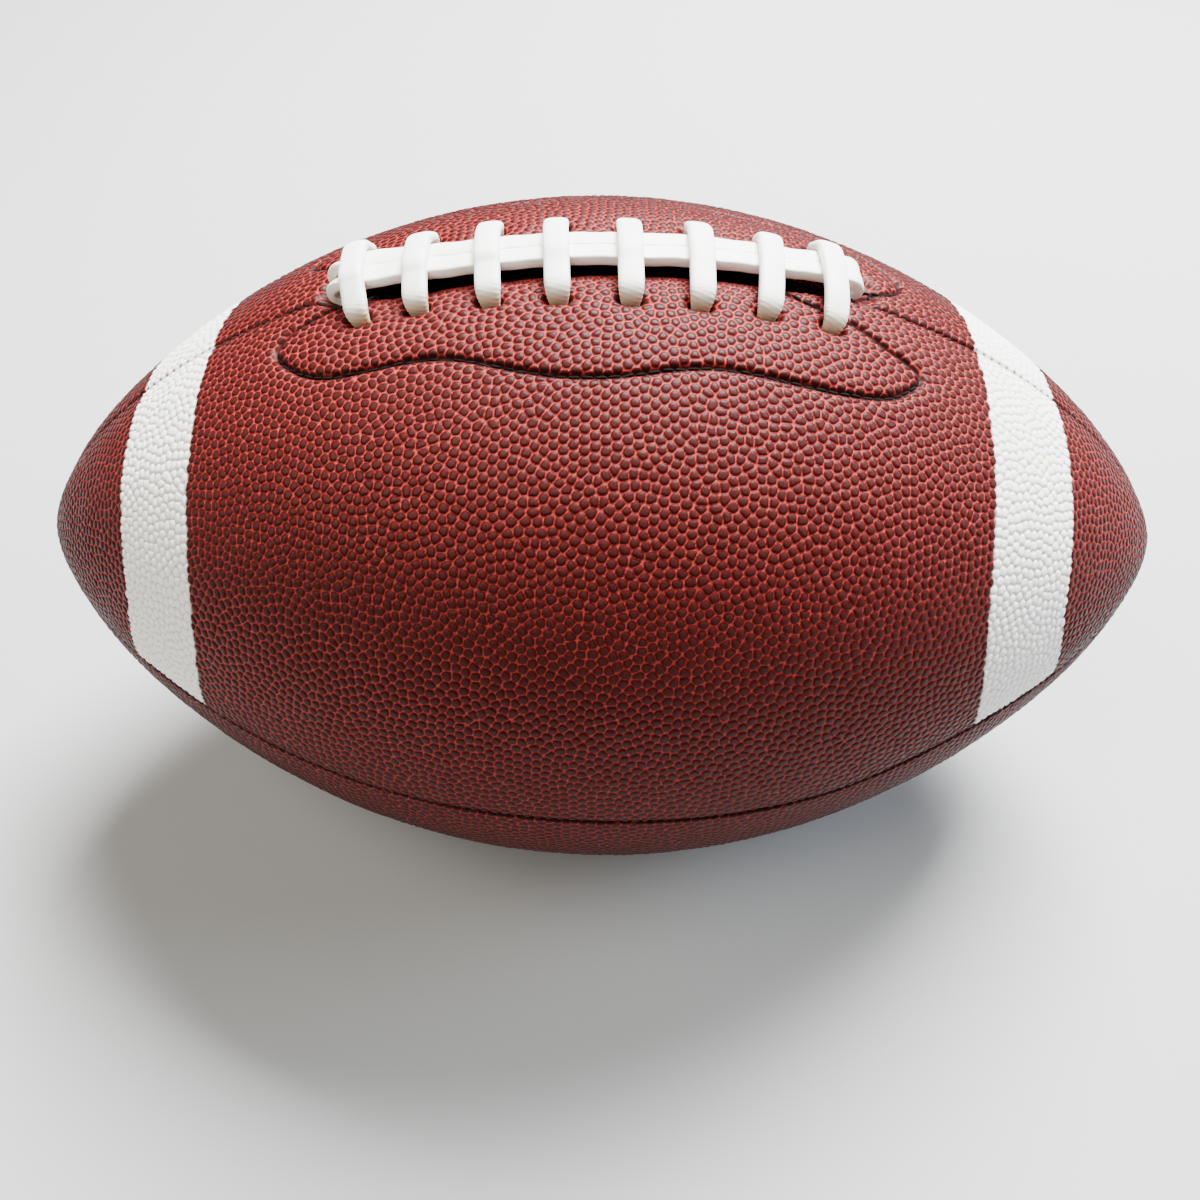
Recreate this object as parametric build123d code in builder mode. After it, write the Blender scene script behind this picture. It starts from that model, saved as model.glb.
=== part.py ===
"""Lace-up football: four sewn panels round a bladder, closed by one flat lace.

The ball lies along X with its lace seam on top, +Z up. The origin is the lowest point of
the belly. All sizes are millimetres. Angles round the long axis are counted from the lace
seam (0) towards the front, -Y (90), the belly seam (180) and the back, +Y (270).
"""

import os
from math import cos, degrees, pi, radians, sin, sqrt

from build123d import *

# ---- driving dimensions -------------------------------------------------------------
HALF_LENGTH = 144.5  # centre of the ball to its tip
GIRTH_RADIUS = 84.2  # long axis to the cover at mid-length
ROUND_SHARE = 0.482  # 1 gives an ellipse, 0 a parabola with sharper ends
PROFILE_SPANS = 24

COVER = 2.2  # pebbled cover panel
GLUE = 0.05  # bond line between two plies
LINING = 0.8  # three-ply cloth behind each panel
FACING = 1.0  # second ply round the lace holes
TONGUE = 1.0  # guard strip between the lace and the bladder
BLADDER = 0.7
PLY_GAP = 0.15  # between pieces that only lie on each other

SEAM_WIDTH = 1.4  # valley where two panels are sewn
SEAM_DEPTH = 1.3
SEAM_ANGLES = {"lace": 0, "front": 90, "belly": 180, "back": 270}
STITCH_PITCH = 5.0
STITCH_RADIUS = 0.4
STITCH_LENGTH = 3.6

STRIPE_EDGES = {-1: (-106.5, -86.5), 1: (83.3, 104.5)}  # along the ball, left and right
STRIPE_DEPTH = 0.4

LACE_WIDTH = 5.7
LACE_THICK = 2.4
CROSS_COUNT = 8
CROSS_PITCH = 13.8
HOLE_ARC = 13.7  # from the lace seam to a hole, round the cover
HOLE_PLAY = 0.35
OPENING_HALF_LENGTH = 58.0
OPENING_EDGE = [(-51, 4.5), (-43, 6.8), (-28, 6.8), (-13, 6.7), (0, 6.2), (14, 5.6), (27, 4.8),
                (38, 3.4), (46, 1.8)]  # x and half-width of the gap between the panels
STRAND_END = 57.5  # where the two long strands turn down into the opening
STRAND_WIDTH = 4.8  # the long strands are squeezed narrower than the crosses
STRAND_GAP = 0.3
STRAND_SHIFT = 1.6  # the pair lies this far towards the back
STRAND_LIFT = 0.2
SLOT_EASE = 1.0  # extra length of the end slots, for the bend of the strands
STRAND_MIDDLE = (STRAND_GAP + STRAND_WIDTH) / 2
STRAND_OUTER = STRAND_MIDDLE + STRAND_WIDTH / 2
CROSS_LIFT = 3.9  # centre line of a cross over the strands
INNER_GAP = 0.6

TONGUE_HALF_LENGTH = 74.0
TONGUE_HALF_WIDTH = 25.0
DENT_HALF_LENGTH = 78.0  # hollow in the bladder under facings, lace and tongue
DENT_HALF_WIDTH = 34.0

LACE_ROUND = 0.9
CROSS_SHOULDER = 1.9  # centre line of a cross above its hole
CROSS_BEND = 1.4

SEAM_START = 64.0  # first stitch of the lace seam, from mid-length
SEAM_END = 132.0
FACING_STITCH_PITCH = 3.6
FACING_STITCH_LENGTH = 2.6
FACING_STITCH_RADIUS = 0.35

VALVE_ANGLE = 225
CORE_SINK = 0.3
CORE_RADIUS = 3.0
CORE_NOSE_RADIUS = 2.4
CORE_LENGTH = 13.0
NEEDLE_RADIUS = 1.0
BOOT_WALL = 1.6
BOOT_FLANGE_RADIUS = 11.0
BOOT_FLANGE = 1.2

CENTRE = Vector(0, 0, GIRTH_RADIUS)
LONG_AXIS = Axis(CENTRE, (1, 0, 0))

LINING_TOP = COVER + GLUE
LINING_BASE = LINING_TOP + LINING
FACING_TOP = LINING_BASE + GLUE
FACING_BASE = FACING_TOP + FACING
LACE_UNDER = FACING_BASE + INNER_GAP + LACE_THICK / 2  # centre line of the inner lace runs
TONGUE_TOP = LACE_UNDER + LACE_THICK / 2 + INNER_GAP
TONGUE_BASE = TONGUE_TOP + TONGUE
BLADDER_TOP = LINING_BASE + PLY_GAP
DENT_TOP = TONGUE_BASE + PLY_GAP

# Lace facing, as seen from above: from the seam round one lobe, along the wave and back.
FACING_LEFT_TIP = (-67.5, 12.4)
FACING_RIGHT_TIP = (67.0, 17.0)
FACING_LEFT_EDGE = [(-41, 1.0), (-51, 3.2), (-58.9, 5.5), (-64.6, 8.2)]
FACING_WAVE = [
    (-65.2, 16.6), (-56.2, 22.3), (-44, 23.7), (-32.5, 24.0), (-20.4, 26.9), (-7, 30.1),
    (4, 30.3), (16, 27.7), (28, 26.6), (42, 26.8), (54.5, 25.9), (62.5, 22.4),
]
FACING_RIGHT_EDGE = [(61.2, 12.6), (52.9, 8.3), (45, 4.6), (39, 1.0)]


# ---- shape of the ball --------------------------------------------------------------
def radius_at(x, depth=0.0):
    """Distance from the long axis to the layer that lies depth under the cover's face."""
    t = 1 - (x / (HALF_LENGTH - depth)) ** 2
    return (GIRTH_RADIUS - depth) * (ROUND_SHARE * sqrt(t) + (1 - ROUND_SHARE) * t)


def profile(depth):
    """Points of a layer's outline from tip to tip, closer together towards the tips."""
    end = HALF_LENGTH - depth
    inner = [-cos(pi * i / PROFILE_SPANS) * end for i in range(1, PROFILE_SPANS)]
    return [(-end, 0), *((x, radius_at(x, depth)) for x in inner), (end, 0)]


def slope_at(x):
    """Rise of the cover per millimetre along the ball."""
    root = sqrt(1 - (x / HALF_LENGTH) ** 2)
    return -GIRTH_RADIUS * x / HALF_LENGTH**2 * (ROUND_SHARE / root + 2 * (1 - ROUND_SHARE))


def outward(angle):
    """Unit vector away from the long axis at an angle from the lace seam."""
    return Vector(0, -sin(radians(angle)), cos(radians(angle)))


def radial_plane(angle):
    """Plane through the long axis: local X is the long axis, local Y points outward."""
    return Plane(CENTRE, x_dir=(1, 0, 0), z_dir=Vector(1, 0, 0).cross(outward(angle)))


def surface_frame(x, angle, depth=0.0):
    """Frame square to the cover: local X along the ball, local Z outward."""
    along = (Vector(1, 0, 0) + outward(angle) * slope_at(x)).normalized()
    square = (outward(angle) - Vector(1, 0, 0) * slope_at(x)).normalized()
    on_face = CENTRE + Vector(x, 0, 0) + outward(angle) * radius_at(x)
    return Plane(on_face - square * depth, x_dir=along, z_dir=square)


def layer_face(top, base, plane):
    """Half-section between two depths, from tip to tip."""
    with BuildSketch(plane, mode=Mode.PRIVATE) as section:
        with BuildLine():
            upper = Spline(*profile(top))
            lower = Spline(*profile(base))
            Line(upper @ 0, lower @ 0)
            Line(upper @ 1, lower @ 1)
        make_face()
    return section.sketch


def layer(top, base, start=0, arc=360, mode=Mode.ADD):
    """Shell between two depths, turned round the long axis from angle start."""
    return revolve(layer_face(top, base, radial_plane(start)), axis=LONG_AXIS,
                   revolution_arc=arc, mode=mode)


def core_body(depth, mode=Mode.ADD):
    """Solid of everything that lies deeper than depth."""
    with BuildSketch(radial_plane(0), mode=Mode.PRIVATE) as half:
        with BuildLine():
            edge = Spline(*profile(depth))
            Line(edge @ 1, edge @ 0)
        make_face()
    return revolve(half.sketch, axis=LONG_AXIS, revolution_arc=360, mode=mode)


def seam_valley(angle, mode=Mode.SUBTRACT):
    """Groove along one seam, cut half from each neighbour."""
    return extrude(layer_face(-1, SEAM_DEPTH, radial_plane(angle)), amount=SEAM_WIDTH / 2,
                   both=True, mode=mode)


def stripe_band(end, start):
    """Quarter ring of one stripe; end is -1 for the left end and 1 for the right."""
    with BuildPart(mode=Mode.PRIVATE) as band:
        layer(0, STRIPE_DEPTH, start, 90)
        low, high = STRIPE_EDGES[end]
        with Locations(((low + high) / 2, 0, GIRTH_RADIUS)):
            Box(high - low, 3 * GIRTH_RADIUS, 3 * GIRTH_RADIUS, mode=Mode.INTERSECT)
    return band.part


# ---- lace layout --------------------------------------------------------------------
CROSS_X = [(i - (CROSS_COUNT - 1) / 2) * CROSS_PITCH for i in range(CROSS_COUNT)]


def cross_plane(x):
    """Plane of one lace cross: local X towards the back, local Y square to the cover."""
    top = surface_frame(x, 0)
    return Plane(top.origin, x_dir=(0, 1, 0), z_dir=top.x_dir)


def leg_point(x, side, height):
    """Point in the cross plane on a lace hole's axis; side is -1 front and 1 back."""
    bend = radius_at(x) * sqrt(1 + slope_at(x) ** 2)
    turn = HOLE_ARC / bend
    return Vector(side * (bend + height) * sin(turn), (bend + height) * cos(turn) - bend)


def lace_hole(x, side):
    """Slot for one lace leg through panel, lining and facing."""
    with BuildSketch(cross_plane(x)) as leg:
        with BuildLine():
            Line(leg_point(x, side, -FACING_BASE - 1), leg_point(x, side, 2))
        trace(line_width=LACE_THICK + 2 * HOLE_PLAY)
    extrude(leg.sketch, amount=LACE_WIDTH / 2 + HOLE_PLAY, both=True, mode=Mode.SUBTRACT)


def lace_opening(side):
    """Half of the gap between the two lace panels, with a slot where the strands dive."""
    with BuildSketch(Plane.XY.offset(GIRTH_RADIUS)) as lens:
        with BuildLine():
            for bow in (1, -1):
                Spline((-OPENING_HALF_LENGTH, 0), *((x, bow * half) for x, half in OPENING_EDGE),
                       (OPENING_HALF_LENGTH, 0))
        make_face()
    extrude(lens.sketch, amount=GIRTH_RADIUS + 10, mode=Mode.SUBTRACT)
    for end in (-1, 1):
        with BuildSketch(surface_frame(end * STRAND_END, 0, FACING_BASE + 1)) as slot:
            with Locations((0, STRAND_SHIFT)):
                Rectangle(LACE_THICK + 2 * HOLE_PLAY + SLOT_EASE,
                          2 * (STRAND_OUTER + HOLE_PLAY))
        extrude(slot.sketch, amount=FACING_BASE + 4, mode=Mode.SUBTRACT)
    for x in CROSS_X:
        lace_hole(x, side)


def facing_outline(side):
    """Sewn edge of the facing from above; side is -1 on the front panel, 1 on the back."""
    def flip(points):
        return [(x, side * y) for x, y in points]

    left = Spline(*flip([*FACING_LEFT_EDGE, FACING_LEFT_TIP]))
    wave = Spline(*flip([FACING_LEFT_TIP, *FACING_WAVE, FACING_RIGHT_TIP]))
    right = Spline(*flip([FACING_RIGHT_TIP, *FACING_RIGHT_EDGE]))
    return left, wave, right


def on_cover(point, depth=0.0):
    """Point of a layer straight above a point of the plan view."""
    height = sqrt(radius_at(point.X, depth) ** 2 - point.Y ** 2)
    return Vector(point.X, point.Y, GIRTH_RADIUS + height)


os.makedirs("parts", exist_ok=True)


def save(part, name):
    part.label = name
    export_step(part, f"parts/{name}.step")


# ---- cover panels, linings and stripes ----------------------------------------------
PANELS = {"lace_front": 0, "belly_front": 90, "belly_back": 180, "lace_back": 270}
LACE_SIDES = {"lace_front": -1, "lace_back": 1}


def valve_passage(radius):
    """Round hole for the valve through everything down to the lining."""
    with BuildSketch(surface_frame(0, VALVE_ANGLE, LINING_BASE + 3)) as hole:
        Circle(radius)
    extrude(hole.sketch, amount=LINING_BASE + 5, mode=Mode.SUBTRACT)


for name, start in PANELS.items():
    with BuildPart() as panel:
        layer(0, COVER, start, 90)
        for angle in (start, start + 90):
            seam_valley(angle)
        if name in LACE_SIDES:
            for end in (-1, 1):
                add(stripe_band(end, start), mode=Mode.SUBTRACT)
            lace_opening(LACE_SIDES[name])
        if name == "belly_back":
            valve_passage(CORE_NOSE_RADIUS + 0.2)
    save(panel.part, f"panel_{name}")

    with BuildPart() as lining:
        layer(LINING_TOP, LINING_BASE, start, 90)
        if name in LACE_SIDES:
            lace_opening(LACE_SIDES[name])
        if name == "belly_back":
            valve_passage(CORE_RADIUS + BOOT_WALL + 0.3)
    save(lining.part, f"lining_{name}")

for name in LACE_SIDES:
    for end, end_name in ((-1, "left"), (1, "right")):
        with BuildPart() as stripe:
            add(stripe_band(end, PANELS[name]))
            for angle in (PANELS[name], PANELS[name] + 90):
                seam_valley(angle)
        save(stripe.part, f"stripe_{name.removeprefix('lace_')}_{end_name}")


# ---- lace facings -------------------------------------------------------------------
for name, side in LACE_SIDES.items():
    with BuildPart() as facing:
        layer(FACING_TOP, FACING_BASE, PANELS[name], 90)
        with BuildSketch(Plane.XY.offset(GIRTH_RADIUS)):
            with BuildLine():
                left, wave, right = facing_outline(side)
                Line(right @ 1, left @ 0)
            make_face()
        extrude(amount=GIRTH_RADIUS + 10, mode=Mode.INTERSECT)
        lace_opening(side)
    save(facing.part, f"facing_{name.removeprefix('lace_')}")


# ---- tongue and bladder -------------------------------------------------------------
def under_lacing(half_length, half_width):
    """Keep only what lies inside a rounded outline round the lacing."""
    with BuildSketch(Plane.XY.offset(GIRTH_RADIUS)) as outline:
        RectangleRounded(2 * half_length, 2 * half_width, half_width / 2)
    extrude(outline.sketch, amount=GIRTH_RADIUS, mode=Mode.INTERSECT)


with BuildPart() as tongue:
    layer(TONGUE_TOP, TONGUE_BASE, -90, 180)
    under_lacing(TONGUE_HALF_LENGTH, TONGUE_HALF_WIDTH)
save(tongue.part, "lace_tongue")


def bladder_space(depth):
    """Solid filled by the bladder, dented where the lacing and its tongue press in."""
    with BuildPart(mode=Mode.PRIVATE) as dent:
        layer(BLADDER_TOP - 2, DENT_TOP + depth, -90, 180)
        under_lacing(DENT_HALF_LENGTH + depth, DENT_HALF_WIDTH + depth)
    with BuildPart(mode=Mode.PRIVATE) as space:
        core_body(BLADDER_TOP + depth)
        add(dent.part, mode=Mode.SUBTRACT)
    return space.part


with BuildPart() as bladder:
    add(bladder_space(0))
    add(bladder_space(BLADDER), mode=Mode.SUBTRACT)
    with BuildSketch(surface_frame(0, VALVE_ANGLE, 12)):
        Circle(CORE_RADIUS + BOOT_WALL + 0.05)
    extrude(amount=12, mode=Mode.SUBTRACT)
save(bladder.part, "bladder")


# ---- valve: rubber boot bonded in the bladder, plug core pushed into it -------------
BOOT_TOP = COVER + PLY_GAP
BOOT_BASE = CORE_SINK + CORE_LENGTH + BOOT_WALL
FLANGE_TOP = BLADDER_TOP + BLADDER + GLUE

with BuildPart() as boot:
    layer(FLANGE_TOP, FLANGE_TOP + BOOT_FLANGE, 180, 90)
    with BuildSketch(surface_frame(0, VALVE_ANGLE, 20)):
        Circle(BOOT_FLANGE_RADIUS)
    extrude(amount=20, mode=Mode.INTERSECT)
    with BuildSketch(surface_frame(0, VALVE_ANGLE, BOOT_BASE)):
        Circle(CORE_RADIUS + BOOT_WALL)
    extrude(amount=BOOT_BASE - BOOT_TOP)
    with BuildSketch(surface_frame(0, VALVE_ANGLE, CORE_SINK + CORE_LENGTH)):
        Circle(CORE_RADIUS)
    extrude(amount=CORE_LENGTH, mode=Mode.SUBTRACT)
    with BuildSketch(surface_frame(0, VALVE_ANGLE, BOOT_BASE)):
        Circle(NEEDLE_RADIUS + 0.3)
    extrude(amount=BOOT_BASE, mode=Mode.SUBTRACT)
save(boot.part, "valve_boot")

with BuildPart() as core:
    with BuildSketch(surface_frame(0, VALVE_ANGLE, CORE_SINK + CORE_LENGTH)):
        Circle(CORE_RADIUS)
    extrude(amount=CORE_SINK + CORE_LENGTH - BOOT_TOP)
    with BuildSketch(surface_frame(0, VALVE_ANGLE, BOOT_TOP)):
        Circle(CORE_NOSE_RADIUS)
    extrude(amount=BOOT_TOP - CORE_SINK)
    with BuildSketch(surface_frame(0, VALVE_ANGLE, CORE_SINK + CORE_LENGTH)):
        Circle(NEEDLE_RADIUS)
    extrude(amount=CORE_LENGTH, mode=Mode.SUBTRACT)
save(core.part, "valve_core")


# ---- lace ---------------------------------------------------------------------------
def lace_run(start, end, wide):
    """Straight flat stretch of lace inside the ball; wide points across its width."""
    path = end - start
    with BuildSketch(Plane(start, x_dir=wide, z_dir=path)) as section:
        RectangleRounded(LACE_WIDTH, LACE_THICK, LACE_ROUND)
    extrude(section.sketch, amount=path.length)


def crest(height):
    """Points of a line that follows the top of the ball at a height over the cover."""
    stations = [STRAND_END * i / 4 for i in range(-4, 5)]
    return [(p.X, p.Z) for p in (surface_frame(x, 0, -height).origin for x in stations)]


with BuildPart() as lace:
    for x in CROSS_X:
        with BuildSketch(cross_plane(x)):
            with BuildLine():
                over = [Vector(STRAND_SHIFT + side * (STRAND_OUTER + 0.7), CROSS_LIFT)
                        for side in (-1, 1)]
                FilletPolyline(
                    leg_point(x, -1, -LACE_UNDER), leg_point(x, -1, CROSS_SHOULDER), *over,
                    leg_point(x, 1, CROSS_SHOULDER), leg_point(x, 1, -LACE_UNDER),
                    radius=CROSS_BEND)
            trace(line_width=LACE_THICK)
        extrude(amount=LACE_WIDTH / 2, both=True)
    for i in range(CROSS_COUNT - 1):
        side = 1 if i % 2 == 0 else -1
        feet = [cross_plane(x).from_local_coords(leg_point(x, side, -LACE_UNDER))
                for x in CROSS_X[i:i + 2]]
        reach = (feet[1] - feet[0]).normalized() * (LACE_WIDTH / 2)
        lace_run(feet[0] - reach, feet[1] + reach, Vector(0, 1, -side * 0.18))
    for side in (-1, 1):
        with BuildSketch(Plane.XZ.offset(-STRAND_SHIFT - side * STRAND_MIDDLE)):
            with BuildLine():
                upper = Spline(*crest(STRAND_LIFT + LACE_THICK))
                lower = Spline(*crest(STRAND_LIFT))
                Line(upper @ 0, lower @ 0)
                Line(upper @ 1, lower @ 1)
            make_face()
        extrude(amount=STRAND_WIDTH / 2, both=True)
        for end in (-1, 1):
            with BuildSketch(surface_frame(end * STRAND_END, 0, LACE_UNDER)):
                with Locations((0, STRAND_SHIFT + side * STRAND_MIDDLE)):
                    Rectangle(LACE_THICK, STRAND_WIDTH)
            extrude(amount=LACE_UNDER + STRAND_LIFT + LACE_THICK)
    turn = [surface_frame(STRAND_END, 0, LACE_UNDER).origin
            + Vector(0, STRAND_SHIFT + side * STRAND_OUTER, 0) for side in (-1, 1)]
    lace_run(*turn, Vector(1, 0, slope_at(STRAND_END)))
    tuck = (surface_frame(-STRAND_END, 0, LACE_UNDER).origin
            + Vector(0, STRAND_SHIFT - STRAND_OUTER / 2, 0))
    first_foot = cross_plane(CROSS_X[0]).from_local_coords(
        leg_point(CROSS_X[0], -1, -LACE_UNDER))
    lace_run(tuck, first_foot, Vector(0, 1, 0.1))
save(lace.part, "lace")


# ---- sewing threads -----------------------------------------------------------------
def seam_thread(angle, stations):
    """Stitches lying on the floor of one seam valley."""
    for x in stations:
        radial = radius_at(x) - radius_at(x, SEAM_DEPTH)
        floor = radial / sqrt(1 + slope_at(x) ** 2)
        bar = surface_frame(x, angle, floor - STITCH_RADIUS - 0.05)
        with Locations(Location(bar)):
            Cylinder(STITCH_RADIUS, STITCH_LENGTH, rotation=(0, 90, 0))


def spread(first, last):
    """Even stations between two ends at about the stitch pitch."""
    count = round((last - first) / STITCH_PITCH)
    return [first + (last - first) * i / count for i in range(count + 1)]


SEAM_RUNS = {
    "lace_seam_left": (0, -SEAM_END, -SEAM_START),
    "lace_seam_right": (0, SEAM_START, SEAM_END),
    "front_seam": (90, -SEAM_END, SEAM_END),
    "belly_seam": (180, -SEAM_END, SEAM_END),
    "back_seam": (270, -SEAM_END, SEAM_END),
}
for name, (angle, first, last) in SEAM_RUNS.items():
    with BuildPart() as thread:
        seam_thread(angle, spread(first, last))
    save(thread.part, f"thread_{name}")

for name, side in LACE_SIDES.items():
    with BuildPart() as thread:
        for edge in facing_outline(side):
            count = round(edge.length / FACING_STITCH_PITCH)
            for i in range(count):
                middle = edge @ ((i + 0.5) / count)
                under_strand = (abs(middle.Y - STRAND_SHIFT) < STRAND_OUTER + 1
                                and abs(middle.X) < 62)
                if under_strand:
                    continue
                heading = edge % ((i + 0.5) / count)
                ends = [on_cover(middle + heading * step, -FACING_STITCH_RADIUS - 0.05)
                        for step in (-FACING_STITCH_LENGTH / 2, FACING_STITCH_LENGTH / 2)]
                with Locations(Plane((ends[0] + ends[1]) / 2, z_dir=ends[1] - ends[0])):
                    Cylinder(FACING_STITCH_RADIUS, FACING_STITCH_LENGTH)
    save(thread.part, f"thread_facing_{name.removeprefix('lace_')}")
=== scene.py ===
import math

import bpy
import numpy as np
from mathutils import Matrix, Vector
from mathutils.kdtree import KDTree


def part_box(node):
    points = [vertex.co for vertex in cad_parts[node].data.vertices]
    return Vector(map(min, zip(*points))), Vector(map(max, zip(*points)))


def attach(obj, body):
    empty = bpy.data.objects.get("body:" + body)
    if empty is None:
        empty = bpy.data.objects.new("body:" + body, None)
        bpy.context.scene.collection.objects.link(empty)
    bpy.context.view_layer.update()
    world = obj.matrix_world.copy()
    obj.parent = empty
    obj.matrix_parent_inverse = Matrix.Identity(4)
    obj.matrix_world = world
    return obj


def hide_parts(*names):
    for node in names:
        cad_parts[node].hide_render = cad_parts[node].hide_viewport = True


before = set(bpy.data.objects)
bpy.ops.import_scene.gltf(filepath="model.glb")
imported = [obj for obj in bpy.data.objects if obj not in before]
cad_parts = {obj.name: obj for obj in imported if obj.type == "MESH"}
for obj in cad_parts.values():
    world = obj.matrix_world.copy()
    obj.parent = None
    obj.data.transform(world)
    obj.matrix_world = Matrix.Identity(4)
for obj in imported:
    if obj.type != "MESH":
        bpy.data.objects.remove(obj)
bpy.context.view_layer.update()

# Lengths below are millimetres; meshes are scaled to metres when they are made.
MM = 0.001
panel_low, panel_high = (np.array(c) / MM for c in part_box("panel_belly_front"))
HALF_LENGTH = (panel_high[0] - panel_low[0]) / 2
GIRTH_RADIUS = panel_high[2] - panel_low[2]
ROUND_SHARE = 0.482  # same profile as the CAD: part ellipse, part parabola
CENTRE_Z = GIRTH_RADIUS
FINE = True

PEBBLE_PITCH = 2.2
PEBBLE_HEIGHT = 0.34
BORDER_SHARPNESS = 7.0  # how sharply the grooves between pebbles meet
STRIPES = ((-106.5, -86.5), (83.3, 105.3))  # x of both edges of each stripe
STRIPE_BEND = 5.2  # how far a stripe runs out towards the tip at its lower seam
STRIPE_BLUR = 0.35
STRIPE_STOP = 1.2  # distance of a stripe's end from the lower seam
LACE_PANEL_STITCH = 2.4  # from needle hole to needle hole
BELLY_PANEL_STITCH = 2.9
NEEDLE_HOLE_INSET = 0.6  # from a panel's edge to its needle holes
SEAM_DEPTH, LACE_SEAM_DEPTH, OPENING_DEPTH = 1.5, 0.8, 2.6  # how far a panel's edge rounds down
SEAM_LIP, OPENING_LIP = 0.85, 1.5  # width of that rounded edge
EDGE_TURN_IN = 3.4  # how far a panel's edge is folded down into its seam
GROOVE_DEPTH, GROOVE_WIDTH = 0.70, 0.66  # of the facing's sewn line
PIT_DEPTH, PIT_HALF_LENGTH, PIT_HALF_WIDTH = 2.2, 2.7, 1.05  # of a lace hole, at the cover
STRAND_DENT_DEPTH = 2.2  # where the long strands turn down
STRAND_DENTS = ((-1, -2.6), (1, -6.0))  # end of the ball, s of the dent's middle
SAG_DEPTH = 1.5  # of the panels beside the opening
VALVE_HOLE_RADIUS = 3.0
VALVE_HOLE_DEPTH = 3.2

rng = np.random.default_rng(7)


# ---- surface of the ball ------------------------------------------------------------
def radius_at(x):
    t = np.clip(1 - (x / HALF_LENGTH) ** 2, 0, 1)
    return GIRTH_RADIUS * (ROUND_SHARE * np.sqrt(t) + (1 - ROUND_SHARE) * t)


def slope_at(x):
    """Change of radius with x."""
    t = np.clip(1 - (x / HALF_LENGTH) ** 2, 1e-4, 1)
    return -GIRTH_RADIUS * x / HALF_LENGTH**2 * (ROUND_SHARE / np.sqrt(t) + 2 * (1 - ROUND_SHARE))


_turn = np.linspace(-math.pi / 2, math.pi / 2, 4001)
_x = HALF_LENGTH * np.sin(_turn)
_arc = np.concatenate([[0], np.cumsum(np.hypot(np.diff(_x), np.diff(radius_at(_x))))])
_arc -= _arc[-1] / 2
HALF_ARC = _arc[-1]


def arc_at(x):
    """Length along the cover from mid-length to x."""
    return np.interp(x, _x, _arc)


def x_at(arc):
    return np.interp(arc, _arc, _x)


def on_ball(x, s, h):
    """Point at x, s round the cover from the lace seam towards the front, h above the cover."""
    x, s, h = (np.asarray(v, float) for v in (x, s, h))
    r = radius_at(x)
    turn = s / np.maximum(r, 1e-6)
    k = slope_at(x)
    n = 1 / np.sqrt(1 + k * k)
    out = r + h * n
    return np.stack([x - h * k * n, -out * np.sin(turn), CENTRE_Z + out * np.cos(turn)], -1)


def normal_at(x, turn):
    """Outward direction of the cover; turn is the angle round from the lace seam."""
    k = slope_at(x)
    n = 1 / np.sqrt(1 + k * k)
    return np.stack([-k * n, -np.sin(turn) * n, np.cos(turn) * n], -1)


def smooth(t):
    t = np.clip(t, 0, 1)
    return t * t * (3 - 2 * t)


def bump(d, width):
    return np.exp(-((d / width) ** 2))


NOISE_CELLS = 64
NOISE_SHIFT = 900.5  # keeps the cell numbers positive


def value_noise(a, b, scale, seed):
    """Smooth noise of two coordinates, -1 to 1."""
    table = np.random.default_rng(seed).uniform(-1, 1, (NOISE_CELLS, NOISE_CELLS))
    u, v = a / scale + NOISE_SHIFT, b / scale + NOISE_SHIFT
    i, j = np.floor(u).astype(int), np.floor(v).astype(int)
    fu, fv = smooth(u - i), smooth(v - j)

    def corner(p, q):
        return table[p % NOISE_CELLS, q % NOISE_CELLS]

    low = corner(i, j) * (1 - fu) + corner(i + 1, j) * fu
    high = corner(i, j + 1) * (1 - fu) + corner(i + 1, j + 1) * fu
    return low * (1 - fv) + high * fv


def curve_through(points, count):
    """Even samples of a smooth curve through points."""
    p = np.asarray(points, float)
    p = np.vstack([2 * p[0] - p[1], p, 2 * p[-1] - p[-2]])
    t = np.linspace(0, 1, 24, endpoint=False)[:, None]
    out = []
    for a, b, c, d in zip(p, p[1:], p[2:], p[3:]):
        out.append(0.5 * (2 * b + (c - a) * t + (2 * a - 5 * b + 4 * c - d) * t**2
                          + (3 * b - a - 3 * c + d) * t**3))
    q = np.vstack([*out, p[-2]])
    run = np.concatenate([[0], np.cumsum(np.linalg.norm(np.diff(q, axis=0), axis=1))])
    at = np.linspace(0, run[-1], count)
    return np.stack([np.interp(at, run, q[:, k]) for k in range(q.shape[1])], -1)


def seam_lean(x):
    """Angle by which the front seam wanders off the quarter turn, in radians."""
    lean_x = [-144, -99, -57, 2, 30, 50, 69, 89, 107, 144]
    lean_deg = [0, -0.8, 1.2, 1.2, 2.4, 3.2, 1.6, -1.4, 0.2, 0]
    near = [np.interp(x + step, lean_x, lean_deg) for step in (-12, -6, 0, 6, 12)]
    return np.radians(np.mean(near, axis=0))


# ---- lacing layout ------------------------------------------------------------------
# For each cross: x and s of its front hole, then of its back hole.
CROSSES = [(-49.2, 9.7, -51.4, -15.0), (-36.6, 10.3, -37.0, -12.9), (-21.6, 11.2, -22.9, -13.2),
           (-7.8, 11.6, -9.1, -12.6), (6.7, 11.7, 5.9, -12.4), (20.8, 11.6, 20.2, -13.4),
           (34.4, 11.3, 34.9, -12.5), (48.1, 10.8, 47.4, -15.6)]
OPENING_END = 57.0
FACING_REACH_X, FACING_REACH_S = 74, 44  # the whole facing lies within these
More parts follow.
